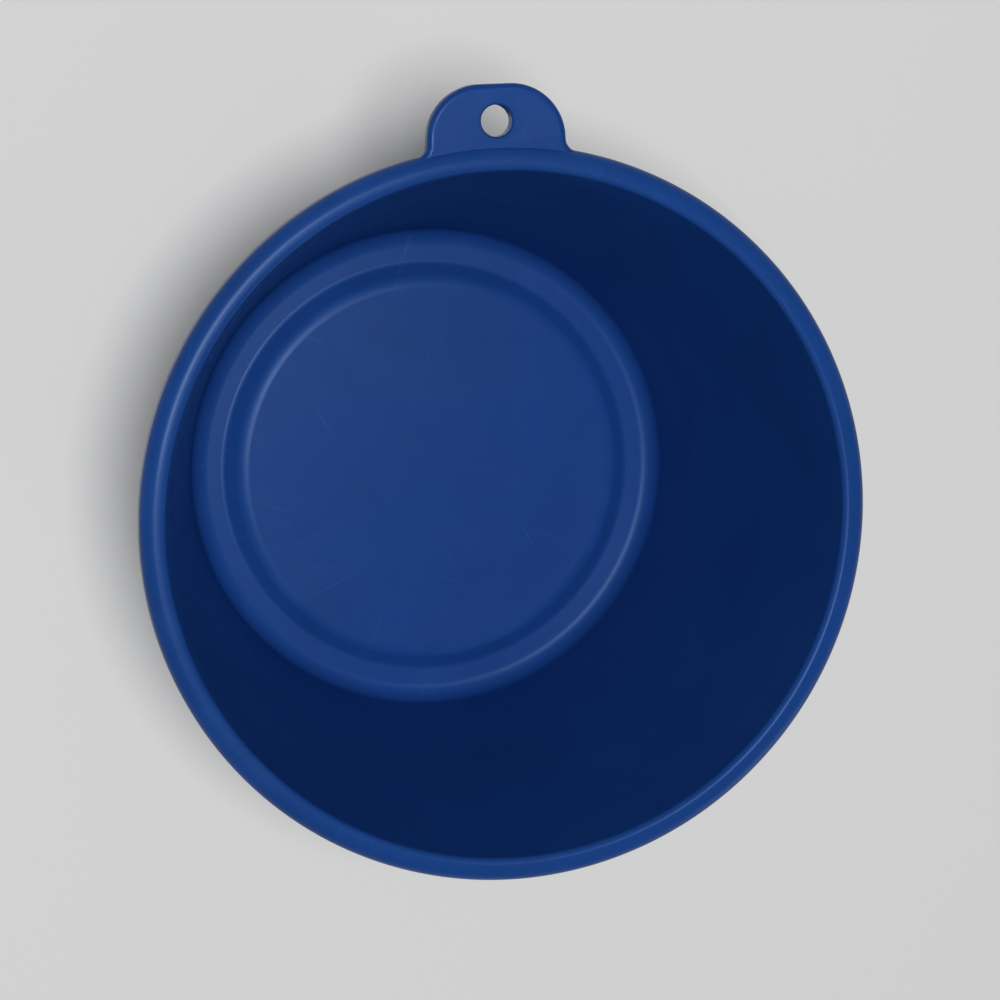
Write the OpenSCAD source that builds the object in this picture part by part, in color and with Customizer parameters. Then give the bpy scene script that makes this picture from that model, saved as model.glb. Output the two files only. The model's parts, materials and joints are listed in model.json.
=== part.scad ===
// Magnetic parts tray: a moulded plastic cup that a ring magnet in its foot
// holds to any steel surface, on a soft base that keeps the surface unmarked.
// Millimetres. The origin is the centre of the base's underside, +Z runs up
// through the mouth, and the hanging tab points along +Y.

/* [Cup] */
// Outside diameter over the rim
rim_d = 109; // [96:0.5:130]
// Overall height, from the base's underside to the rim's crest
total_h = 78; // [50:0.5:110]
// Wall thickness, square to the wall
wall_t = 2.2; // [1.6:0.1:3]
// Distance from the side of the magnet housing out to the foot of the wall
gutter_w = 7.2; // [6:0.1:9]
// Thickness of that floor
floor_t = 2.4; // [1.6:0.1:3.2]
// Radius between the floor and the wall
floor_fillet = 3; // [1:0.1:4]

/* [Rim] */
// Width of the bead round the mouth
bead_w = 3.6; // [2.4:0.1:4.5]
// Height of the bead
bead_h = 4.5; // [3.2:0.1:8]
// Radius on the bead's upper edge inside the mouth
bead_inner_r = 1; // [0.4:0.1:1.4]
// Radius on the bead's upper edge outside, which rolls the rim over
bead_outer_r = 2.3; // [0.6:0.1:2.5]
// Radius on the bead's lower edge and in the corner under it
bead_under_r = 0.6; // [0.2:0.1:0.8]

/* [Hanging tab] */
// Width of the tab
tab_w = 20.5; // [16:0.5:26]
// How far the tab reaches out from the rim
tab_out = 8.8; // [7.5:0.1:12]
// Radius of the tab's two outer corners
tab_corner_r = 8; // [4:0.1:10]
// Thickness of the tab
tab_t = 3; // [2:0.1:3.5]
// Step from the rim's crest down to the tab's upper face
tab_drop = 1; // [0.5:0.1:1.5]
// Radius in the corners between the tab and the rim
tab_fillet = 2; // [1:0.1:5]
// Diameter of the hanging hole
hole_d = 4.6; // [3:0.1:6]
// Distance of the hole's centre outside the rim
hole_out = 3.5; // [3:0.1:5]

/* [Magnet] */
// Diameter of the ring magnet and of the steel plate on it
magnet_d = 60; // [50:0.5:70]
// Bore of the ring magnet
magnet_bore = 24; // [20:0.5:30]
// Thickness of the ring magnet
magnet_t = 8; // [7:0.1:12]
// Radius on the magnet's edges
magnet_edge_r = 0.8; // [0.2:0.1:1.5]
// Thickness of the steel backing plate
plate_t = 2; // [1:0.1:3]

/* [Magnet housing] */
// Wall of the housing round the magnet
housing_wall = 1.9; // [1.4:0.1:3]
// Thickness of the housing's roof, which is the raised disc in the cup
housing_roof = 2.2; // [1.8:0.1:3.5]
// Height of the raised disc above the floor round it
disc_rise = 1.8; // [1:0.1:4]
// How far inside the housing's side the disc's flat top ends
disc_inset = 0.9; // [0:0.1:1.2]
// Width of the slope from there down to the floor
disc_slope = 2.8; // [1.8:0.1:3.4]
// Radius on the raised disc's edge
disc_edge_r = 4; // [0.4:0.1:5]
// Radius at the foot of the slope
disc_foot_r = 1.5; // [0.4:0.1:2.4]
// Radial clearance of the magnet and the plate in the housing
pocket_gap = 0.3; // [0.1:0.05:0.6]

/* [Magnet fixing] */
// Diameter of the self-tapping screw over its thread
screw_d = 3.9; // [3:0.1:4.5]
// Depth of the thread
thread_depth = 0.5; // [0.2:0.05:0.7]
// Pitch of the thread
thread_pitch = 1.3; // [0.8:0.1:1.8]
// Diameter of the screw's pan head
head_d = 7.5; // [6.5:0.1:9]
// Height of the screw's pan head
head_h = 2.6; // [2:0.1:3]
// Length of the cross slot in the head, from end to end
slot_l = 4.5; // [3:0.1:5.5]
// Width of the cross slot
slot_w = 1; // [0.6:0.1:1.4]
// Depth of the cross slot
slot_depth = 1.4; // [0.8:0.1:1.8]
// Diameter of the boss that takes the screw
boss_d = 9; // [7:0.1:11]
// Plastic left over the end of the screw's hole
tip_cover = 1.2; // [0.8:0.1:1.6]
// Thickness of the spring washer
washer_t = 0.9; // [0.6:0.1:1.2]
// Width of the cut through the spring washer
split_w = 0.6; // [0.3:0.1:1.2]
// Slant of that cut, in degrees from upright
split_slant = 25; // [0:1:35]
// Steel thickness of the dished retaining cup
sheet_t = 1; // [0.6:0.1:1.2]
// Inside radius of the retaining cup's two bends
bend_r = 0.5; // [0.2:0.1:0.7]
// Diameter of the retaining cup's flange, which carries the magnet
flange_d = 34; // [30:0.5:44]

/* [Base] */
// Thickness of the base under the magnet
base_t = 2.5; // [2:0.1:4]
// Height of the band that the base makes round the foot
base_h = 8; // [6:0.1:9]
// Wall of that band, at its upper edge
base_wall = 3; // [2.4:0.1:3.6]
// Radius round the base's lower edge
base_edge_r = 1.2; // [0.4:0.1:2]
// Radius round the base's upper edge
base_lip_r = 0.4; // [0.1:0.1:1]
// Wall of the cup's foot inside the base
skirt_t = 2; // [1.4:0.1:2.6]
// Radius inside the cup's hollow foot, in its upper corners
foot_corner_r = 0.8; // [0.2:0.1:1]
// Radius on the foot's lower edge, which leads it into the base
foot_lead_r = 0.4; // [0.1:0.1:1]
// Radius of the snap ring round the foot
snap_r = 0.5; // [0.3:0.05:0.7]
// Height of the snap ring above the foot's lower edge
snap_rise = 1.8; // [1.5:0.1:2.5]
// Radius of the innermost grip groove under the base
groove_first_r = 13; // [8:0.5:16]
// Distance from one grip groove to the next
groove_pitch = 5; // [3:0.1:8]
// Width of a grip groove
groove_w = 1.6; // [0.6:0.1:2.4]
// Depth of a grip groove
groove_depth = 0.6; // [0.2:0.05:0.8]
// Plain land left outside the last grip groove
groove_land = 1.6; // [0.6:0.1:3]

/* [Clearances] */
// Radial clearance of the base on the cup's foot
base_gap = 0.1; // [0.05:0.05:0.3]
// Open seam between the cup's shoulder and the base's upper edge
seam = 0.3; // [0.1:0.05:0.6]
// Clearance round the fixing's parts, from each other and from the base
fixing_gap = 0.3; // [0.1:0.05:0.5]
// Radial clearance of the thread in its hole
thread_gap = 0.05; // [0.01:0.01:0.2]

/* [Hidden] */
$fn = 96;
// Straight steps in each rounded corner of a turned outline
corner_steps = 6;
// Overshoot that makes a cut pass cleanly through a face
cut = 1;
// Most of the bead's width that its inner and its outer radius may take
inner_share = 0.3;
outer_share = 0.65;
// Most of the bead's overhang that each radius under it may take
under_share = 0.4;
// Where a turn of the thread has its crest and its next root, as shares of the pitch
crest_share = 0.4;
root_share = 0.8;

// Radii of the cup, from the axis outwards
rim_r = rim_d / 2;
mouth_r = rim_r - bead_w;
pocket_r = magnet_d / 2 + pocket_gap;
housing_r = pocket_r + housing_wall;
disc_r = housing_r - disc_inset;
floor_r = housing_r + gutter_w;

// Levels of the stack in the foot, from the base upwards
magnet_z = base_t;
plate_z = magnet_z + magnet_t;
roof_z = plate_z + plate_t;
housing_z = roof_z + housing_roof;
floor_z = housing_z - disc_rise;
under_floor_z = floor_z - floor_t;

// The wall leans outwards as it rises: radius gained for each millimetre of height
lean = (mouth_r - floor_r) / (total_h - floor_z);
wall_level_t = wall_t * sqrt(1 + lean * lean);
function inner_r(z) = floor_r + lean * (z - floor_z);
function outer_r(z) = inner_r(z) + wall_level_t;

// The bead's underside, and how far it stands out from the wall
bead_z = total_h - bead_h;
bead_overhang = rim_r - outer_r(bead_z);
bead_in_r = min(bead_inner_r, inner_share * bead_w);
bead_out_r = min(bead_outer_r, outer_share * bead_w);
bead_low_r = min(bead_under_r, under_share * bead_overhang);

// The cup's foot, which the base snaps over
skirt_r = outer_r(base_h) - base_wall;
skirt_in_r = skirt_r - skirt_t;
snap_z = base_t + snap_rise;

// The screw and what it clamps, from its head upwards
recess_z = base_t - sheet_t;
head_z = recess_z + fixing_gap;
washer_z = head_z + head_h;
dish_z = washer_z + washer_t;
boss_z = dish_z + sheet_t + fixing_gap;
screw_top_z = housing_z - tip_cover;
screw_tip_z = screw_top_z - fixing_gap;
dish_r = magnet_bore / 2 - fixing_gap;
core_r = screw_d / 2 - thread_depth;

// The tab's end, the hole's centre, and the centre of the right-hand fillet between tab and rim
tab_end_y = rim_r + tab_out;
hole_y = rim_r + hole_out;
tab_fillet_x = tab_w / 2 + tab_fillet;
tab_fillet_y = sqrt(pow(rim_r + tab_fillet, 2) - tab_fillet_x * tab_fillet_x);
tab_round_r = min(tab_corner_r, tab_w / 2, tab_end_y - tab_fillet_y);

function unit(v) = v / norm(v);
function turn(a) = a > 180 ? a - 360 : a < -180 ? a + 360 : a;

// The points of one corner at b, between its neighbours a and c, rounded to radius r
function corner(a, b, c, r) =
    r == 0 ? [b] :
    let (
        u = unit(a - b),
        v = unit(c - b),
        half = acos(u * v) / 2,
        centre = b + unit(u + v) * r / sin(half),
        from = b + u * r / tan(half) - centre,
        to = b + v * r / tan(half) - centre,
        start = atan2(from.y, from.x),
        sweep = turn(atan2(to.y, to.x) - start)
    )
    [for (i = [0 : corner_steps])
        let (angle = start + sweep * i / corner_steps)
        centre + r * [cos(angle), sin(angle)]];

// A closed outline from a list of corners, each [radius from the axis, height, corner radius]
function rounded(path) =
    let (n = len(path), at = [for (p = path) [p.x, p.y]])
    [for (i = [0 : n - 1]) each corner(at[(i + n - 1) % n], at[i], at[(i + 1) % n], path[i].z)];

module turned(path) {
    rotate_extrude() polygon(rounded(path));
}

// The cup's section: up over the raised disc, the floor and the wall, over the
// rim's bead, down the outside, then back under the foot to the screw's hole
cup_section = [
    [0, housing_z, 0],
    [disc_r, housing_z, disc_edge_r],
    [disc_r + disc_slope, floor_z, disc_foot_r],
    [floor_r, floor_z, floor_fillet],
    [mouth_r, total_h, bead_in_r],
    [rim_r, total_h, bead_out_r],
    [rim_r, bead_z, bead_low_r],
    [outer_r(bead_z), bead_z, bead_low_r],
    [outer_r(base_h), base_h, 0],
    [skirt_r, base_h, 0],
    [skirt_r, base_t, foot_lead_r],
    [skirt_in_r, base_t, 0],
    [skirt_in_r, under_floor_z, foot_corner_r],
    [housing_r, under_floor_z, foot_corner_r],
    [housing_r, base_t, 0],
    [pocket_r, base_t, 0],
    [pocket_r, roof_z, 0],
    [boss_d / 2, roof_z, 0],
    [boss_d / 2, boss_z, 0],
    [screw_d / 2 + thread_gap, boss_z, 0],
    [screw_d / 2 + thread_gap, screw_top_z, 0],
    [0, screw_top_z, 0]
];

// The ring that snaps into the base's groove, larger by gap for the groove itself
module snap_ring(gap = 0) {
    rotate_extrude() translate([skirt_r, snap_z]) circle(r = snap_r + gap);
}

// The tab's outline: a rounded end blended into the rim, clear of the mouth
module tab_outline() {
    difference() {
        union() {
            hull() {
                for (side = [-1, 1])
                    translate([side * (tab_w / 2 - tab_round_r), tab_end_y - tab_round_r])
                        circle(r = tab_round_r);
                translate([-tab_w / 2, tab_fillet_y - cut]) square([tab_w, cut]);
            }
            polygon([[0, 0], [tab_fillet_x, tab_fillet_y], [-tab_fillet_x, tab_fillet_y]]);
        }
        for (side = [-1, 1]) translate([side * tab_fillet_x, tab_fillet_y]) circle(r = tab_fillet);
        circle(r = rim_r - bead_w / 2);
        translate([0, hole_y]) circle(d = hole_d);
    }
}

module cup() {
    color("#1f4180") union() {
        turned(cup_section);
        snap_ring();
        translate([0, 0, total_h - tab_drop - tab_t]) linear_extrude(tab_t) tab_outline();
    }
}

// Flat steel disc that turns the magnet's field down towards the surface
module backing_plate() {
    color("silver") translate([0, 0, plate_z]) difference() {
        cylinder(d = magnet_d, h = plate_t);
        translate([0, 0, -cut]) cylinder(d = boss_d + 2 * fixing_gap, h = plate_t + 2 * cut);
    }
}

module ring_magnet() {
    color("#2e2f31") turned([
        [magnet_bore / 2, magnet_z, magnet_edge_r],
        [magnet_d / 2, magnet_z, magnet_edge_r],
        [magnet_d / 2, plate_z, magnet_edge_r],
        [magnet_bore / 2, plate_z, magnet_edge_r]
    ]);
}

// Dished steel washer: its flange carries the magnet, and its dish hides the screw's head
module retaining_cup() {
    hole_r = screw_d / 2 + fixing_gap;
    color("gainsboro") turned([
        [hole_r, dish_z, 0],
        [dish_r - sheet_t, dish_z, bend_r],
        [dish_r - sheet_t, recess_z, bend_r + sheet_t],
        [flange_d / 2, recess_z, 0],
        [flange_d / 2, base_t, 0],
        [dish_r, base_t, bend_r],
        [dish_r, dish_z + sheet_t, bend_r + sheet_t],
        [hole_r, dish_z + sheet_t, 0]
    ]);
}

// Split washer, shown pressed flat, with its slanting cut
module spring_washer() {
    color("gray") translate([0, 0, washer_z]) difference() {
        cylinder(d = head_d - fixing_gap, h = washer_t);
        translate([0, 0, -cut]) cylinder(d = screw_d + fixing_gap, h = washer_t + 2 * cut);
        translate([head_d / 2, 0, washer_t / 2]) rotate([split_slant, 0, 0])
            cube([head_d, split_w, 2 * head_d], center = true);
    }
}

// Pan-head self-tapping screw, driven upwards: cross slot, head, thread and tip
module retaining_screw() {
    tip_h = screw_d / 2;
    thread_z = dish_z + sheet_t;
    turns = floor((screw_tip_z - tip_h - thread_z) / thread_pitch);
    thread = [for (i = [0 : turns - 1]) each [
        [core_r, thread_z + i * thread_pitch, 0],
        [screw_d / 2, thread_z + (i + crest_share) * thread_pitch, 0],
        [core_r, thread_z + (i + root_share) * thread_pitch, 0]
    ]];
    color("lightgray") difference() {
        turned([
            [0, head_z, 0],
            [head_d / 2, head_z, head_h / 2],
            [head_d / 2, washer_z, 0],
            [core_r, washer_z, 0],
            each thread,
            [core_r, screw_tip_z - tip_h, 0],
            [0, screw_tip_z, 0]
        ]);
        for (angle = [0, 90]) rotate(angle) translate([-slot_l / 2, -slot_w / 2, head_z - cut])
            cube([slot_l, slot_w, slot_depth + cut]);
    }
}

// Soft base: a disc under the magnet and a band that snaps round the cup's foot
module pvc_base() {
    rim_top_z = base_h - seam;
    bore_r = skirt_r + base_gap;
    recess_r = flange_d / 2 + fixing_gap;
    last_groove_r = outer_r(0) - base_edge_r - groove_land - groove_w;
    color("#26272a") difference() {
        turned([
            [0, 0, 0],
            [outer_r(0), 0, base_edge_r],
            [outer_r(rim_top_z), rim_top_z, base_lip_r],
            [bore_r, rim_top_z, 0],
            [bore_r, base_t, 0],
            [recess_r, base_t, 0],
            [recess_r, recess_z, 0],
            [0, recess_z, 0]
        ]);
        snap_ring(base_gap);
        for (r = [groove_first_r : groove_pitch : last_groove_r])
            rotate_extrude() translate([r, -cut]) square([groove_w, groove_depth + cut]);
    }
}

cup();
backing_plate();
ring_magnet();
retaining_cup();
spring_washer();
retaining_screw();
pvc_base();
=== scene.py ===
import json
import math

import bpy
from mathutils import Matrix, Vector


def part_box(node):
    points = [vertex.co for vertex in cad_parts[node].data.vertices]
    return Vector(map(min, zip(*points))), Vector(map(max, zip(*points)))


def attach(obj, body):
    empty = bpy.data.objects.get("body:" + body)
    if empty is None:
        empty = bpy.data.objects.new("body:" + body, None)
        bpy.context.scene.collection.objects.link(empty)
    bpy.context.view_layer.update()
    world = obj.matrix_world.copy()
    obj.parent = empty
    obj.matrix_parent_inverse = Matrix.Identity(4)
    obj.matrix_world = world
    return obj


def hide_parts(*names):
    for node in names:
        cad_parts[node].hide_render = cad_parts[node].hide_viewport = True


mm = 0.001

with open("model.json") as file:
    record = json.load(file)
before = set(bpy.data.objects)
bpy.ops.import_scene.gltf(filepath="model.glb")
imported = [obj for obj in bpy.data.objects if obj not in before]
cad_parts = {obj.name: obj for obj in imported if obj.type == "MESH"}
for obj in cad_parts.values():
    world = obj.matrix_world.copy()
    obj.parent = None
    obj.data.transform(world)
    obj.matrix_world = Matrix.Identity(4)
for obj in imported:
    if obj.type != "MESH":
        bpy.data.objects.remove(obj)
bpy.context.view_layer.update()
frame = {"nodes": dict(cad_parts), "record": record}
print("frame:", len(frame["nodes"]), "solids loaded")

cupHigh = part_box("cup")[1]
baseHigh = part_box("pvc_base")[1]
magnetLow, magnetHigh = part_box("ring_magnet")
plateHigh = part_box("backing_plate")[1]
flangeLow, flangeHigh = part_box("retaining_cup")
hangingHole = next(m for m in frame["record"]["mounts"] if m["name"] == "hanging_hole")


# camera, floor and light

viewing = {
    "stand": (-94.5 * mm, 65.7 * mm, 502 * mm),
    "aim": (-1.9 * mm, 3.1 * mm, 78 * mm),
    "up": (0.0384, 0.9993, 0),      # the tab points slightly left of straight up
    "across": 146 * mm,             # what the picture spans at the rim
    "sensor": 36,
    "nearest": 10 * mm,
}


def aimed(place, target, up):
    back = (Vector(place) - Vector(target)).normalized()
    across = Vector(up).cross(back).normalized()
    turned = Matrix((across, back.cross(across), back)).transposed().to_4x4()
    turned.translation = place
    return turned


def makeCamera():
    data = bpy.data.cameras.new("camera")
    distance = (Vector(viewing["stand"]) - Vector(viewing["aim"])).length
    data.sensor_width = viewing["sensor"]
    data.lens = viewing["sensor"] * distance / viewing["across"]
    data.clip_start = viewing["nearest"]
    camera = bpy.data.objects.new("camera", data)
    bpy.context.scene.collection.objects.link(camera)
    camera.matrix_world = aimed(viewing["stand"], viewing["aim"], viewing["up"])
    bpy.context.scene.camera = camera


studio = {
    "key": {"place": (-0.14, 0.095, 1.31), "size": 0.36, "watts": 12.2},
    "side": {"place": (0.80, -0.80, 0.20), "size": 0.50, "watts": 1.4},
    "lampAim": (0, 0, 30 * mm), "lampUp": (0.1, 1, 0),
    "worldGlow": 0.10,
    "backdrop": 0.72,
    "floorReach": 6.0, "floorColour": (0.80, 0.80, 0.79), "floorRough": 0.7,
    "floorFade": (0.22, 0.60),      # where the lit floor passes into the plain backdrop
}


def makeLights():
    for name in ("key", "side"):
        lamp = studio[name]
        data = bpy.data.lights.new(name, "AREA")
        data.shape = "DISK"
        data.size = lamp["size"]
        data.energy = lamp["watts"]
        light = bpy.data.objects.new(name, data)
        bpy.context.scene.collection.objects.link(light)
        light.matrix_world = aimed(lamp["place"], studio["lampAim"], studio["lampUp"])
    world = bpy.data.worlds.new("studio")
    bpy.context.scene.world = world
    world.use_nodes = True
    tree = world.node_tree
    glow = tree.nodes["Background"]
    glow.inputs["Color"].default_value = (1, 1, 1, 1)
    glow.inputs["Strength"].default_value = studio["worldGlow"]
    backdrop = tree.nodes.new("ShaderNodeBackground")
    backdrop.inputs["Color"].default_value = (1, 1, 1, 1)
    backdrop.inputs["Strength"].default_value = studio["backdrop"]
    path = tree.nodes.new("ShaderNodeLightPath")
    either = tree.nodes.new("ShaderNodeMixShader")
    tree.links.new(path.outputs["Is Camera Ray"], either.inputs[0])
    tree.links.new(glow.outputs[0], either.inputs[1])
    tree.links.new(backdrop.outputs[0], either.inputs[2])
    tree.links.new(either.outputs[0], tree.nodes["World Output"].inputs["Surface"])


makeCamera()
makeLights()
bpy.context.scene.view_settings.view_transform = "Standard"
print("camera and lights set")


# node helpers

def plug(tree, value, socket):
    if isinstance(value, bpy.types.NodeSocket):
        tree.links.new(value, socket)
    else:
        socket.default_value = value


def addNode(tree, kind, inputs=None, **settings):
    node = tree.nodes.new(kind)
    for name, value in settings.items():
        setattr(node, name, value)
    for name, value in (inputs or {}).items():
        plug(tree, value, node.inputs[name])
    return node


def sums(tree):
    def work(operation, *values):
        node = tree.nodes.new("ShaderNodeMath")
        node.operation = operation
        for value, socket in zip(values, node.inputs):
            plug(tree, value, socket)
        return node.outputs[0]
    return work


def blended(work, first, second, share):
    return work("MULTIPLY_ADD", work("SUBTRACT", second, first), share, first)


def shapeTree(name, sizes):
    tree = bpy.data.node_groups.new(name, "GeometryNodeTree")
    tree.is_modifier = True
    sockets = tree.interface
    sockets.new_socket("Geometry", in_out="INPUT", socket_type="NodeSocketGeometry")
    for label, kind in sizes:
        sockets.new_socket(label, in_out="INPUT", socket_type="NodeSocket" + kind)
    sockets.new_socket("Geometry", in_out="OUTPUT", socket_type="NodeSocketGeometry")
    return tree, tree.nodes.new("NodeGroupInput").outputs, tree.nodes.new("NodeGroupOutput").inputs[0]


def addTree(piece, tree, values):
    modifier = piece.modifiers.new(tree.name, "NODES")
    modifier.node_group = tree
    for item in tree.interface.items_tree:
        if item.in_out == "INPUT" and item.name in values:
            modifier[item.identifier] = values[item.name]


def linked(name, mesh):
    piece = bpy.data.objects.new(name, mesh)
    bpy.context.scene.collection.objects.link(piece)
    return piece


def settle(piece):
    # the evaluated shape becomes a plain mesh
    graph = bpy.context.evaluated_depsgraph_get()
    mesh = bpy.data.meshes.new_from_object(
        piece.evaluated_get(graph), preserve_all_data_layers=True, depsgraph=graph)
    piece.modifiers.clear()
    piece.data = mesh
    mesh.name = piece.name


def discard(*pieces):
    for piece in pieces:
        mesh = piece.data
        bpy.data.objects.remove(piece)
        bpy.data.meshes.remove(mesh)


# sections: each row is a radius, a height and how far it is a convex edge (edge wear, and on the blue a
# painted highlight) or a dusty hollow

turning = {
    "arcStep": math.radians(7.5), "smallArc": 0.7 * mm, "smallArcStep": math.radians(15),
    "support": 0.12 * mm,           # rows beside each rounded corner
    "supportShare": 0.25,           # left out where one would take more of a straight than this
    "longestRun": 5 * mm,
    "seamGap": 0.001 * mm,          # points nearer than this become one
    "creased": math.radians(22),    # sharper bends than this stay hard edges
}


def rowAt(point, **marks):
    return {"r": point[0], "z": point[1], **marks}


def cornerRows(before, corner, after, radius):
    before, corner, after = Vector(before), Vector(corner), Vector(after)
    if radius == 0:
        return [rowAt(corner)]
    back, ahead = (before - corner).normalized(), (after - corner).normalized()
    half = back.angle(ahead) / 2
    centre = corner + (back + ahead).normalized() * (radius / math.sin(half))
    start = corner + back * (radius / math.tan(half)) - centre
    end = corner + ahead * (radius / math.tan(half)) - centre
    sweep = start.angle(end)
    step = turning["smallArcStep" if radius < turning["smallArc"] else "arcStep"]
    steps = max(3, math.ceil(sweep / step))
    mark = "edge" if back.x * ahead.y - back.y * ahead.x > 0 else "hollow"
    rows = []
    for i in range(steps + 1):
        t = i / steps
        spoke = start * math.sin((1 - t) * sweep) + end * math.sin(t * sweep)
        rows.append(rowAt(centre + spoke / math.sin(sweep), **{mark: math.sin(math.pi * t)}))
    return rows


def straightRows(start, end):
    start, end = Vector((start["r"], start["z"])), Vector((end["r"], end["z"]))
    length = (end - start).length
    edge = turning["support"] / length
    if edge > turning["supportShare"]:
        return []
    count = int(length / turning["longestRun"])
    marks = [edge] + [(i + 1) / (count + 1) for i in range(count)] + [1 - edge]
    return [rowAt(start.lerp(end, t)) for t in marks]


def sectionRows(corners):
    # corners run from the axis at the top, outwards and down, back to the axis
    rows = [rowAt(corners[0])]
    for before, corner, after in zip(corners, corners[1:], corners[2:]):
        found = cornerRows(before[:2], corner[:2], after[:2], corner[2])
        rows += straightRows(rows[-1], found[0]) + found
    return rows + straightRows(rows[-1], rowAt(corners[-1])) + [rowAt(corners[-1])]


def sectionObject(name, rows):
    mesh = bpy.data.meshes.new(name)
    points = [(row["r"], 0, row["z"]) for row in rows]
    mesh.from_pydata(points, [(i, i + 1) for i in range(len(rows) - 1)], [])
    for mark in ("edge", "hollow"):
        values = mesh.attributes.new(mark, "FLOAT", "POINT").data
        for value, row in zip(values, rows):
            value.value = row.get(mark, 0)
    return linked(name, mesh)


def sampled(tree, section, kind, value, row):
    node = addNode(tree, "GeometryNodeSampleIndex", data_type=kind)
    plug(tree, section, node.inputs["Geometry"])
    plug(tree, value, node.inputs["Value"])
    plug(tree, row, node.inputs["Index"])
    return node.outputs["Value"]


def namedMark(tree, name):
    node = addNode(tree, "GeometryNodeInputNamedAttribute", {"Name": name}, data_type="FLOAT")
    return node.outputs["Attribute"]


def stored(tree, shape, name, value):
    node = addNode(tree, "GeometryNodeStoreNamedAttribute", {"Geometry": shape, "Name": name},
                   data_type="FLOAT", domain="POINT")
    plug(tree, value, node.inputs["Value"])
    return node.outputs["Geometry"]


def changed(tree, shape, kind, **inputs):
    return addNode(tree, "GeometryNode" + kind, {"Geometry": shape, **inputs}).outputs[0]


def makeTurnedTree():
    # turns a section round the upright axis
    tree, given, result = shapeTree("turnedPiece", (
        ("Section", "Object"), ("Columns", "Int"), ("Material", "Material")))
    work = sums(tree)
    section = addNode(tree, "GeometryNodeObjectInfo", {"Object": given["Section"]}).outputs["Geometry"]
    counts = addNode(tree, "GeometryNodeAttributeDomainSize", {"Geometry": section}).outputs
    rowCount = counts["Point Count"]
    grid = addNode(tree, "GeometryNodeMeshGrid", {
        "Size X": 1, "Size Y": 1,
        "Vertices X": work("ADD", given["Columns"], 1), "Vertices Y": rowCount})
    place = tree.nodes.new("GeometryNodeInputPosition").outputs[0]
    flat = addNode(tree, "ShaderNodeSeparateXYZ", {"Vector": place}).outputs
    row = work("ROUND", work("MULTIPLY", work("ADD", flat["Y"], 0.5), work("SUBTRACT", rowCount, 1)))
    turn = work("MULTIPLY", flat["X"], 2 * math.pi)
    point = addNode(tree, "ShaderNodeSeparateXYZ", {
        "Vector": sampled(tree, section, "FLOAT_VECTOR", place, row)}).outputs
    spun = addNode(tree, "ShaderNodeCombineXYZ", {
        "X": work("MULTIPLY", point["X"], work("SINE", turn)),
        "Y": work("MULTIPLY", point["X"], work("COSINE", turn)),
        "Z": point["Z"]}).outputs[0]
    shape = grid.outputs["Mesh"]
    for mark in ("edge", "hollow"):
        shape = stored(tree, shape, mark, sampled(tree, section, "FLOAT", namedMark(tree, mark), row))
    shape = changed(tree, shape, "SetPosition", Position=spun)
    shape = changed(tree, shape, "MergeByDistance", Distance=turning["seamGap"])
    shape = changed(tree, shape, "SetShadeSmooth")
    shape = changed(tree, shape, "RealizeInstances")
    shape = changed(tree, shape, "SetMaterial", Material=given["Material"])
    plug(tree, shape, result)
    return tree


turnedTree = makeTurnedTree()


def turnedMesh(name, rows, columns, material):
    section = sectionObject(name + "Section", rows)
    piece = linked(name, bpy.data.meshes.new(name))
    addTree(piece, turnedTree, {"Section": section, "Columns": columns, "Material": material})
    settle(piece)
    discard(section)
    return piece


# effects that several finishes share

grainLook = {
    "coarser": 0.35, "coarseShare": 0.4,
    "dragScale": 900.0, "dragStretch": (1, 1, 0.012),
    "mottleScale": 38.0, "mottleFrom": (0.3, 0.7),
}
scuffLook = {
    "lyingFlat": 0.7,               # a face counts as level above this upward tilt
    "rolledAt": 47 * mm,
    # turn, then the scale along and across the stroke
    "strokes": ((0.35, 60, 2600), (1.1, 90, 3100), (1.95, 45, 2300), (2.7, 70, 2900)),
    "strokeFrom": (0.70, 0.78), "layers": 7,
    "patchScale": 95.0, "patchFrom": (0.42, 0.62),
    "smudgeScale": 60.0, "smudgeStretch": (1, 1.6, 1), "smudgeFrom": (0.45, 0.72),
}


def shaderGroup(name, inputs, outputs):
    tree = bpy.data.node_groups.new(name, "ShaderNodeTree")
    for label in inputs:
        tree.interface.new_socket(label, in_out="INPUT", socket_type="NodeSocketFloat")
    for label in outputs:
        tree.interface.new_socket(label, in_out="OUTPUT", socket_type="NodeSocketFloat")
    return tree, tree.nodes.new("NodeGroupInput").outputs, tree.nodes.new("NodeGroupOutput").inputs


def objectPlace(tree, scale=(1, 1, 1)):
    place = tree.nodes.new("ShaderNodeTexCoord").outputs["Object"]
    return addNode(tree, "ShaderNodeMapping", {"Vector": place, "Scale": scale}).outputs[0]


def levelFace(tree):
    # 1 where a face lies level, 0 where it stands
    facing = tree.nodes.new("ShaderNodeNewGeometry").outputs["Normal"]
    tilt = addNode(tree, "ShaderNodeSeparateXYZ", {"Vector": facing}).outputs["Z"]
    work = sums(tree)
    return work("GREATER_THAN", work("ABSOLUTE", tilt), scuffLook["lyingFlat"])


def unrolledPlace(tree, radius, level):
    # level faces keep their plan, upright faces are rolled out flat at the given radius
    work = sums(tree)
    place = addNode(tree, "ShaderNodeSeparateXYZ", {"Vector": objectPlace(tree)}).outputs
    rolled = work("MULTIPLY", work("ARCTAN2", place["X"], place["Y"]), radius)
    return addNode(tree, "ShaderNodeCombineXYZ", {
        "X": blended(work, rolled, place["X"], level),
        "Y": blended(work, place["Z"], place["Y"], level),
        "Z": level}).outputs[0]


def cloud(tree, place, scale, detail, rough):
    return addNode(tree, "ShaderNodeTexNoise", {
        "Vector": place, "Scale": scale, "Detail": detail, "Roughness": rough}).outputs[0]


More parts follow.
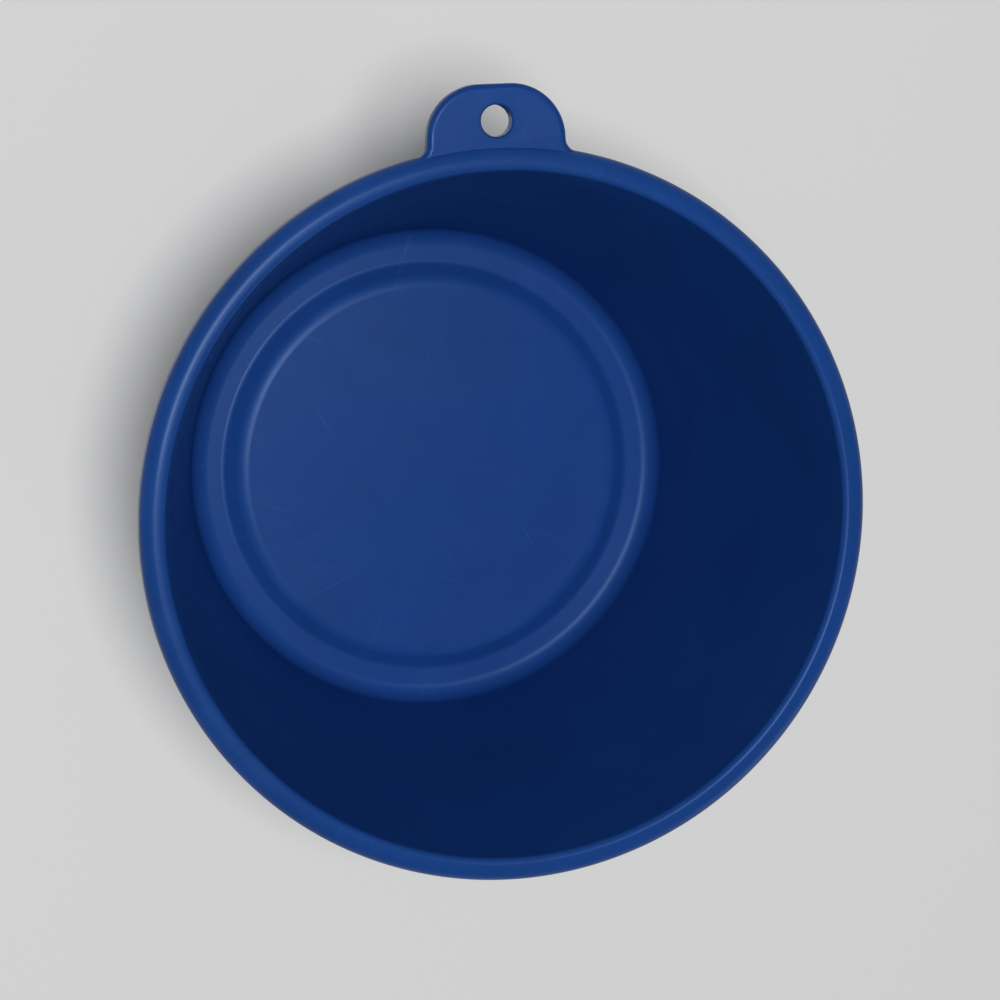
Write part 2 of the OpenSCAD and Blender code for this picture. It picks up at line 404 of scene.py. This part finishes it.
def ramp(tree, value, low, high, toLow=0.0, toHigh=1.0):
    return addNode(tree, "ShaderNodeMapRange", {
        "Value": value, "From Min": low, "From Max": high, "To Min": toLow, "To Max": toHigh},
        interpolation_type="SMOOTHSTEP").outputs[0]


def makeGrainGroup():
    # the mould's own surface: fine grain, drag lines along the draw and slow unevenness
    tree, given, out = shaderGroup("mouldGrain", ("Grain",), ("Height", "Drag", "Mottle"))
    work = sums(tree)
    place = objectPlace(tree)
    fine = cloud(tree, place, given["Grain"], 1.0, 0.5)
    coarse = cloud(tree, place, work("MULTIPLY", given["Grain"], grainLook["coarser"]), 1.0, 0.5)
    drag = cloud(tree, objectPlace(tree, grainLook["dragStretch"]), grainLook["dragScale"], 1.0, 0.5)
    mottle = cloud(tree, place, grainLook["mottleScale"], 3.0, 0.55)
    plug(tree, blended(work, fine, coarse, grainLook["coarseShare"]), out["Height"])
    plug(tree, drag, out["Drag"])
    plug(tree, ramp(tree, mottle, *grainLook["mottleFrom"]), out["Mottle"])
    return tree


def makeScuffGroup():
    # hairline scratches in four directions, broken up and gathered in patches, few on upright faces
    tree, given, out = shaderGroup("scuffs", ("Level", "Upright"), ("Scratches", "Smudge"))
    work = sums(tree)
    level = levelFace(tree)
    place = unrolledPlace(tree, scuffLook["rolledAt"], level)
    total = 0.0
    for turn, along, across in scuffLook["strokes"]:
        turned = addNode(tree, "ShaderNodeMapping", {"Vector": place, "Rotation": (0, 0, turn)})
        drawn = addNode(tree, "ShaderNodeMapping", {
            "Vector": turned.outputs[0], "Scale": (along, across, scuffLook["layers"])})
        line = ramp(tree, cloud(tree, drawn.outputs[0], 1.0, 1.0, 0.4), *scuffLook["strokeFrom"])
        total = work("MAXIMUM", total, line)
    patch = cloud(tree, objectPlace(tree), scuffLook["patchScale"], 2.0, 0.6)
    patch = ramp(tree, patch, *scuffLook["patchFrom"])
    amount = blended(work, given["Upright"], given["Level"], level)
    plug(tree, work("MULTIPLY", work("MULTIPLY", total, patch), amount), out["Scratches"])
    smudge = cloud(tree, objectPlace(tree, scuffLook["smudgeStretch"]), scuffLook["smudgeScale"], 4.0, 0.6)
    plug(tree, ramp(tree, smudge, *scuffLook["smudgeFrom"]), out["Smudge"])
    return tree


grainGroup = makeGrainGroup()
scuffGroup = makeScuffGroup()


# finishes

def newFinish(name):
    material = bpy.data.materials.new(name)
    material.use_nodes = True
    tree = material.node_tree
    return material, tree, tree.nodes["Principled BSDF"].inputs


def groupIn(tree, group, **values):
    node = tree.nodes.new("ShaderNodeGroup")
    node.node_tree = group
    for name, value in values.items():
        plug(tree, value, node.inputs[name])
    return node.outputs


def pieceMark(tree, name):
    return addNode(tree, "ShaderNodeAttribute", attribute_name=name).outputs["Fac"]


def tinted(tree, first, second, share):
    node = addNode(tree, "ShaderNodeMix", data_type="RGBA")
    plug(tree, share, node.inputs["Factor"])
    for value, socket in ((first, node.inputs[6]), (second, node.inputs[7])):
        plug(tree, (*value, 1) if isinstance(value, tuple) else value, socket)
    return node.outputs[2]


def summed(work, start, *shares):
    for value, share in shares:
        start = work("MULTIPLY_ADD", value, share, start)
    return start


def bumped(tree, surface, height, strength, distance):
    bump = addNode(tree, "ShaderNodeBump", {"Height": height, "Strength": strength, "Distance": distance})
    plug(tree, bump.outputs[0], surface["Normal"])


blueFinish = {
    "colour": (0.0100, 0.054, 0.245),
    "deeper": (0.0086, 0.046, 0.212),
    # the lighter blue below tints scratches as wear, and convex edges as a painted highlight
    "rubAndSheen": (0.024, 0.110, 0.390),
    "glint": (0.45, 0.65, 1.0),
    "edgeSheenSpread": (0.0, 0.9, 0.25, 0.6),
    "gloss": 0.25, "ior": 1.46, "shine": 0.2,
    "grain": 1500.0, "grainDepth": 0.005 * mm, "bump": 0.5,
    "scuffLevel": 0.6, "scuffUpright": 0.02,
}


def makeBlue():
    material, tree, surface = newFinish("absBlue")
    work = sums(tree)
    grain = groupIn(tree, grainGroup, Grain=blueFinish["grain"])
    scuff = groupIn(tree, scuffGroup, Level=blueFinish["scuffLevel"], Upright=blueFinish["scuffUpright"])
    scratches = scuff["Scratches"]
    edge, hollow = pieceMark(tree, "edge"), pieceMark(tree, "hollow")
    # painted highlight: convex edges, broken up by the smudge pattern, turn a lighter blue; the line after
    # that tints scratches as wear
    rubAndSheen = work("MULTIPLY", edge, ramp(tree, scuff["Smudge"], *blueFinish["edgeSheenSpread"]))
    colour = tinted(tree, blueFinish["colour"], blueFinish["deeper"], grain["Mottle"])
    colour = tinted(tree, colour, blueFinish["rubAndSheen"], work("MULTIPLY", rubAndSheen, 0.3))
    colour = tinted(tree, colour, blueFinish["rubAndSheen"], work("MULTIPLY", scratches, 0.5))
    plug(tree, colour, surface["Base Color"])
    rough = summed(work, blueFinish["gloss"], (grain["Mottle"], 0.04), (grain["Drag"], 0.012),
                   (scuff["Smudge"], 0.04), (edge, 0.12), (scratches, 0.15), (hollow, 0.15))
    plug(tree, rough, surface["Roughness"])
    surface["IOR"].default_value = blueFinish["ior"]
    surface["Specular IOR Level"].default_value = blueFinish["shine"]
    surface["Specular Tint"].default_value = (*blueFinish["glint"], 1)
    relief = summed(work, grain["Height"], (grain["Drag"], 0.2), (scratches, -0.8))
    bumped(tree, surface, relief, blueFinish["bump"], blueFinish["grainDepth"])
    return material


blackFinish = {
    "colour": (0.0135, 0.0135, 0.0145),
    "bloom": (0.040, 0.040, 0.042),
    "dust": (0.115, 0.108, 0.098),
    "gloss": 0.52,
    "grain": 3400.0, "grainDepth": 0.03 * mm, "bump": 0.6,
    "scuffLevel": 1.0, "scuffUpright": 0.15,
    "dustOpen": 0.10, "dustHollow": 0.55,
}


def makeBlack():
    material, tree, surface = newFinish("pvcBlack")
    work = sums(tree)
    grain = groupIn(tree, grainGroup, Grain=blackFinish["grain"])
    scuff = groupIn(tree, scuffGroup, Level=blackFinish["scuffLevel"], Upright=blackFinish["scuffUpright"])
    edge, hollow = pieceMark(tree, "edge"), pieceMark(tree, "hollow")
    dusting = blended(work, blackFinish["dustOpen"], blackFinish["dustHollow"], hollow)
    dusty = work("MULTIPLY", dusting, scuff["Smudge"])
    colour = blackFinish["colour"]
    for tint, value, share in (("bloom", grain["Mottle"], 0.35), ("bloom", edge, 0.6),
                               ("dust", dusty, 0.5), ("dust", scuff["Scratches"], 0.25)):
        colour = tinted(tree, colour, blackFinish[tint], work("MULTIPLY", value, share))
    plug(tree, colour, surface["Base Color"])
    rough = summed(work, blackFinish["gloss"], (grain["Mottle"], 0.08), (dusty, 0.20), (edge, -0.08))
    plug(tree, rough, surface["Roughness"])
    relief = summed(work, grain["Height"], (scuff["Scratches"], -0.5))
    bumped(tree, surface, relief, blackFinish["bump"], blackFinish["grainDepth"])
    return material


metalFinishes = {
    "zincSteel": {
        "bright": (0.62, 0.63, 0.65), "dull": (0.44, 0.45, 0.47), "gloss": 0.26, "turned": 1900.0},
    "springSteel": {
        "bright": (0.40, 0.41, 0.44), "dull": (0.23, 0.24, 0.27), "gloss": 0.30, "turned": 2600.0},
}
metalWear = {"scuffLevel": 1.0, "scuffUpright": 0.5, "lineDepth": 0.01 * mm, "bump": 0.4}


def makeMetal(name):
    values = metalFinishes[name]
    material, tree, surface = newFinish(name)
    work = sums(tree)
    scuff = groupIn(tree, scuffGroup, Level=metalWear["scuffLevel"], Upright=metalWear["scuffUpright"])
    place = addNode(tree, "ShaderNodeSeparateXYZ", {"Vector": objectPlace(tree)}).outputs
    across, along = work("MULTIPLY", place["X"], place["X"]), work("MULTIPLY", place["Y"], place["Y"])
    rings = addNode(tree, "ShaderNodeCombineXYZ", {
        "X": work("SQRT", work("ADD", across, along)), "Y": work("MULTIPLY", place["Z"], 0.6)})
    lines = cloud(tree, rings.outputs[0], values["turned"], 3.0, 0.65)
    colour = tinted(tree, values["bright"], values["dull"], ramp(tree, scuff["Smudge"], 0.0, 1.0))
    plug(tree, tinted(tree, colour, values["dull"], work("MULTIPLY", lines, 0.4)), surface["Base Color"])
    surface["Metallic"].default_value = 1
    rough = summed(work, values["gloss"], (scuff["Smudge"], 0.14), (lines, 0.10), (scuff["Scratches"], 0.10))
    plug(tree, rough, surface["Roughness"])
    relief = summed(work, lines, (scuff["Scratches"], -0.6))
    bumped(tree, surface, relief, metalWear["bump"], metalWear["lineDepth"])
    return material


ferriteFinish = {
    "colour": (0.030, 0.030, 0.033),
    "fleck": (0.095, 0.095, 0.100),
    "gloss": 0.50,
    "grain": 2200.0, "grainDepth": 0.05 * mm, "bump": 0.6,
    "fleckScale": 1500.0, "fleckFrom": (0.86, 0.98),
}


def makeFerrite():
    material, tree, surface = newFinish("ferrite")
    work = sums(tree)
    grain = groupIn(tree, grainGroup, Grain=ferriteFinish["grain"])
    cells = addNode(tree, "ShaderNodeTexVoronoi", {
        "Vector": objectPlace(tree), "Scale": ferriteFinish["fleckScale"]})
    chance = addNode(tree, "ShaderNodeSeparateColor", {"Color": cells.outputs["Color"]}).outputs[0]
    fleck = ramp(tree, chance, *ferriteFinish["fleckFrom"])
    colour = ferriteFinish["colour"]
    for value, share in ((fleck, 0.7), (grain["Mottle"], 0.2)):
        colour = tinted(tree, colour, ferriteFinish["fleck"], work("MULTIPLY", value, share))
    plug(tree, colour, surface["Base Color"])
    rough = summed(work, ferriteFinish["gloss"], (grain["Mottle"], 0.14), (fleck, -0.18))
    plug(tree, rough, surface["Roughness"])
    bumped(tree, surface, grain["Height"], ferriteFinish["bump"], ferriteFinish["grainDepth"])
    return material


def makeFloorFinish():
    # lit and shadowed near the object, the backdrop's own tone further out
    material, tree, surface = newFinish("paleFloor")
    work = sums(tree)
    surface["Base Color"].default_value = (*studio["floorColour"], 1)
    surface["Roughness"].default_value = studio["floorRough"]
    away = addNode(tree, "ShaderNodeVectorMath", {0: objectPlace(tree)}, operation="LENGTH")
    far = ramp(tree, away.outputs["Value"], *studio["floorFade"])
    path = tree.nodes.new("ShaderNodeLightPath").outputs
    mirrored = work("MAXIMUM", path["Is Glossy Ray"], path["Is Transmission Ray"])
    seen = work("MAXIMUM", path["Is Camera Ray"], mirrored)
    plain = addNode(tree, "ShaderNodeEmission", {"Strength": studio["backdrop"]})
    either = addNode(tree, "ShaderNodeMixShader", {0: work("MULTIPLY", far, seen)})
    tree.links.new(tree.nodes["Principled BSDF"].outputs[0], either.inputs[1])
    tree.links.new(plain.outputs[0], either.inputs[2])
    tree.links.new(either.outputs[0], tree.nodes["Material Output"].inputs["Surface"])
    return material


blue = makeBlue()
black = makeBlack()
ferrite = makeFerrite()
zinc = makeMetal("zincSteel")
spring = makeMetal("springSteel")
print("finishes made")


# floor

def makeFloor():
    reach = studio["floorReach"]
    mesh = bpy.data.meshes.new("floor")
    corners = [(-reach, -reach, 0), (reach, -reach, 0), (reach, reach, 0), (-reach, reach, 0)]
    mesh.from_pydata(corners, [], [(0, 1, 2, 3)])
    mesh.materials.append(makeFloorFinish())
    linked("floor", mesh)


makeFloor()


# cup

cup = {
    "rim": cupHigh.x, "crest": cupHigh.z, "tabEnd": cupHigh.y,
    "wall": 2.2 * mm, "floor": 2.4 * mm, "gutter": 7.2 * mm,
    "magnetGap": 0.3 * mm, "housingWall": 1.9 * mm, "housingRoof": 2.2 * mm,
    "discRise": 1.8 * mm, "discInset": 0.9 * mm, "discSlope": 2.8 * mm,
    "discEdge": 4 * mm, "discFoot": 1.5 * mm, "floorFillet": 3 * mm, "underFillet": 0.8 * mm,
    "beadWidth": 3.6 * mm, "beadHeight": 4.5 * mm,
    "beadInner": 1 * mm, "beadOuter": 2.3 * mm, "beadUnder": 0.6 * mm,
    "seam": 0.3 * mm, "step": 3 * mm, "stepEdge": 0.35 * mm, "skirt": 2 * mm, "skirtEdge": 0.4 * mm,
    "snapHeight": 4.3 * mm, "snapRadius": 0.5 * mm, "snapSteps": 8,
    "boss": 4.5 * mm, "bossFoot": 6.6 * mm, "pilot": 2 * mm, "pilotTop": 13.5 * mm,
    "tabWidth": 20.5 * mm, "tabCorner": 8 * mm, "tabFillet": 2 * mm,
    "tabLip": 0.8 * mm, "tabSteps": 24, "lipSteps": 6, "closingSteps": 8,
    "tabSink": 0.1 * mm,            # how far the tab's fillets run into the rim
    "holeEdge": 0.4 * mm, "holeStop": math.radians(25), "holeSteps": 8, "holeColumns": 64,
    "holeOver": 0.3 * mm, "holePast": 2 * mm,
    "columns": 360,
}
pocket = magnetHigh.x + cup["magnetGap"]
housing = pocket + cup["housingWall"]
floorRadius = housing + cup["gutter"]
housingTop = plateHigh.z + cup["housingRoof"]
floorTop = housingTop - cup["discRise"]
discRadius = housing - cup["discInset"]
floorUnder = floorTop - cup["floor"]
mouth = cup["rim"] - cup["beadWidth"]
beadFoot = cup["crest"] - cup["beadHeight"]
lean = (mouth - floorRadius) / (cup["crest"] - floorTop)
stepHeight = baseHigh.z + cup["seam"]


def outside(z):
    return floorRadius + lean * (z - floorTop) + cup["wall"] * math.hypot(1, lean)


skirtOut = outside(stepHeight) - cup["step"]
skirtIn = skirtOut - cup["skirt"]


def halfRound(radius, height, bulge, steps):
    # corners of a half-round bead, from its top down
    turns = [math.pi * i / steps for i in range(steps + 1)]
    return [(radius + bulge * math.sin(turn), height + bulge * math.cos(turn), 0) for turn in turns]


def cupCorners():
    return [
        (0, housingTop),
        (discRadius, housingTop, cup["discEdge"]),
        (discRadius + cup["discSlope"], floorTop, cup["discFoot"]),
        (floorRadius, floorTop, cup["floorFillet"]),
        (mouth, cup["crest"], cup["beadInner"]),
        (cup["rim"], cup["crest"], cup["beadOuter"]),
        (cup["rim"], beadFoot, cup["beadUnder"]),
        (outside(beadFoot), beadFoot, cup["beadUnder"]),
        (outside(stepHeight), stepHeight, cup["stepEdge"]),
        (skirtOut, stepHeight, 0),
        *halfRound(skirtOut, cup["snapHeight"], cup["snapRadius"], cup["snapSteps"]),
        (skirtOut, magnetLow.z, cup["skirtEdge"]),
        (skirtIn, magnetLow.z, 0),
        (skirtIn, floorUnder, cup["underFillet"]),
        (housing, floorUnder, cup["underFillet"]),
        (housing, magnetLow.z, 0),
        (pocket, magnetLow.z, 0),
        (pocket, plateHigh.z, 0),
        (cup["boss"], plateHigh.z, 0),
        (cup["boss"], cup["bossFoot"], 0),
        (cup["pilot"], cup["bossFoot"], 0),
        (cup["pilot"], cup["pilotTop"], 0),
        (0, cup["pilotTop"]),
    ]


def heading(turn):
    return Vector((math.sin(turn), math.cos(turn)))


def tabOutline():
    # points in plan with their outward directions: fillet, corner, end, corner, fillet, back inside the bead
    half, corner, fillet = cup["tabWidth"] / 2, cup["tabCorner"], cup["tabFillet"]
    filletX = half + fillet
    filletY = math.sqrt((cup["rim"] + fillet - cup["tabSink"]) ** 2 - filletX ** 2)
    span = math.atan2(filletX, filletY)
    right, steps = [], cup["tabSteps"]
    for i in range(steps + 1):
        face = heading(math.pi / 2 * i / steps)
        right.append((Vector((half - corner, cup["tabEnd"] - corner)) + corner * face, face))
    for i in range(steps + 1):
        face = heading(math.pi / 2 + (span - math.pi / 2) * i / steps)
        right.append((Vector((filletX, filletY)) - fillet * face, face))
    left = [(Vector((-point.x, point.y)), Vector((-face.x, face.y))) for point, face in reversed(right)]
    inside, steps = cup["rim"] - cup["beadWidth"] / 2, cup["closingSteps"]
    closing = [(inside * heading(span * (1 - 2 * i / steps)), Vector((0, 0))) for i in range(steps + 1)]
    return left + right + closing


def makeTab(tabLow, tabTop):
    lip, inset = cup["tabLip"], cup["tabLip"] + turning["support"]
    turns = [math.pi / 2 * i / cup["lipSteps"] for i in range(cup["lipSteps"] + 1)]
    # how far each lip row is an edge, for edge wear and the blue's painted highlight
    curl = [(lip * (1 - math.sin(turn)), lip * (1 - math.cos(turn)), math.sin(2 * turn)) for turn in turns]
    rings = [(inset, tabLow, 0)]
    rings += [(back, tabLow + rise, edgeShare) for back, rise, edgeShare in curl]
    rings += [(back, tabTop - drop, edgeShare) for drop, back, edgeShare in curl]
    rings.append((inset, tabTop, 0))
    outline = tabOutline()
    around = len(outline)
    points = [(*(point - face * back), z) for back, z, edgeShare in rings for point, face in outline]
    faces = [tuple(range(around)), tuple(reversed(range(len(points) - around, len(points))))]
    for low in range(0, len(points) - around, around):
        for i in range(around):
            j = (i + 1) % around
            faces.append((low + i, low + around + i, low + around + j, low + j))
    mesh = bpy.data.meshes.new("hangingTab")
    mesh.from_pydata(points, [], faces)
    edge = mesh.attributes.new("edge", "FLOAT", "POINT").data
    mesh.attributes.new("hollow", "FLOAT", "POINT")
    for i, value in enumerate(edge):
        value.value = rings[i // around][2]
    mesh.materials.append(blue)
    return linked("hangingTab", mesh)


def makeHoleCutter(tabLow, tabTop):
    radius, flare, stop = hangingHole["dims"]["r_mm"] * mm, cup["holeEdge"], cup["holeStop"]
    upper = []
    for i in range(cup["holeSteps"] + 1):
        turn = math.pi - (math.pi / 2 - stop) * i / cup["holeSteps"]
        upper.append((radius + flare + flare * math.cos(turn), tabTop - flare + flare * math.sin(turn)))
    over, (r, z) = cup["holeOver"], upper[-1]
    upper.append((r + over * math.cos(stop), z + over * math.sin(stop)))
    wide, ceiling, middle = upper[-1][0], tabTop + cup["holePast"], tabTop + tabLow
    outline = [(0, ceiling), (wide, ceiling)] + upper[::-1]
    outline += [(r, middle - z) for r, z in outline[::-1]]
    cutter = turnedMesh("holeCutter", [rowAt(point) for point in outline], cup["holeColumns"], blue)
    cutter.location.y = hangingHole["pos_m"][1]
    return cutter


def makeCup():
    thick = hangingHole["dims"]["length_mm"] * mm
    tabTop = hangingHole["pos_m"][2] + thick / 2
    tabLow = tabTop - thick
    piece = turnedMesh("cupShell", sectionRows(cupCorners()), cup["columns"], blue)
    tab, cutter = makeTab(tabLow, tabTop), makeHoleCutter(tabLow, tabTop)
    for other, operation in ((tab, "UNION"), (cutter, "DIFFERENCE")):
        joined = piece.modifiers.new(other.name, "BOOLEAN")
        joined.operation, joined.solver, joined.object = operation, "EXACT", other
    settle(piece)
    discard(tab, cutter)
    return piece


def finishMesh(piece, node, finish):
    mesh = piece.data
    mesh.materials.clear()
    mesh.materials.append(finish)
    mesh.shade_smooth()
    mesh.set_sharp_from_angle(angle=turning["creased"])
    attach(piece, "root")
    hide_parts(node)
    mesh.calc_loop_triangles()
    print(piece.name, "made,", len(mesh.loop_triangles), "triangles")


cupShell = makeCup()
finishMesh(cupShell, "cup", blue)


# soft base

base = {
    "boreGap": 0.1 * mm, "snapGap": 0.1 * mm, "recessGap": 0.3 * mm,
    "footEdge": 1.2 * mm, "lipEdge": 0.4 * mm, "boreEdge": 0.25 * mm,
    "grooves": (13 * mm, 18 * mm, 23 * mm, 28 * mm, 33 * mm),
    "grooveWidth": 1.6 * mm, "grooveDepth": 0.6 * mm, "grooveEdge": 0.22 * mm,
    "columns": 200,
}


def baseCorners():
    bore = skirtOut + base["boreGap"]
    recess = flangeHigh.x + base["recessGap"]
    snap = cup["snapRadius"] + base["snapGap"]
    hold = math.acos(base["boreGap"] / snap)
    corners = [
        (0, flangeLow.z),
        (recess, flangeLow.z, 0),
        (recess, magnetLow.z, base["boreEdge"]),
        (bore, magnetLow.z, 0),
    ]
    for i in range(cup["snapSteps"] + 1):
        turn = hold * (2 * i / cup["snapSteps"] - 1)
        corners.append((skirtOut + snap * math.cos(turn), cup["snapHeight"] + snap * math.sin(turn), 0))
    corners += [
        (bore, baseHigh.z, base["boreEdge"]),
        (outside(baseHigh.z), baseHigh.z, base["lipEdge"]),
        (outside(0), 0, base["footEdge"]),
    ]
    deep, edge = base["grooveDepth"], base["grooveEdge"]
    for inner in reversed(base["grooves"]):
        outer = inner + base["grooveWidth"]
        corners += [(outer, 0, edge), (outer, deep, edge), (inner, deep, edge), (inner, 0, edge)]
    return corners + [(0, 0)]


def makeBase():
    return turnedMesh("softBase", sectionRows(baseCorners()), base["columns"], black)


softBase = makeBase()
finishMesh(softBase, "pvc_base", black)


# pieces inside the foot keep their solids and get their finishes

innerFinishes = {
    "backing_plate": zinc, "retaining_cup": zinc, "retaining_screw": zinc,
    "spring_washer": spring, "ring_magnet": ferrite,
}
for name, finish in innerFinishes.items():
    solid = frame["nodes"][name]
    solid.data.materials.clear()
    solid.data.materials.append(finish)
print("inner pieces finished:", ", ".join(innerFinishes))
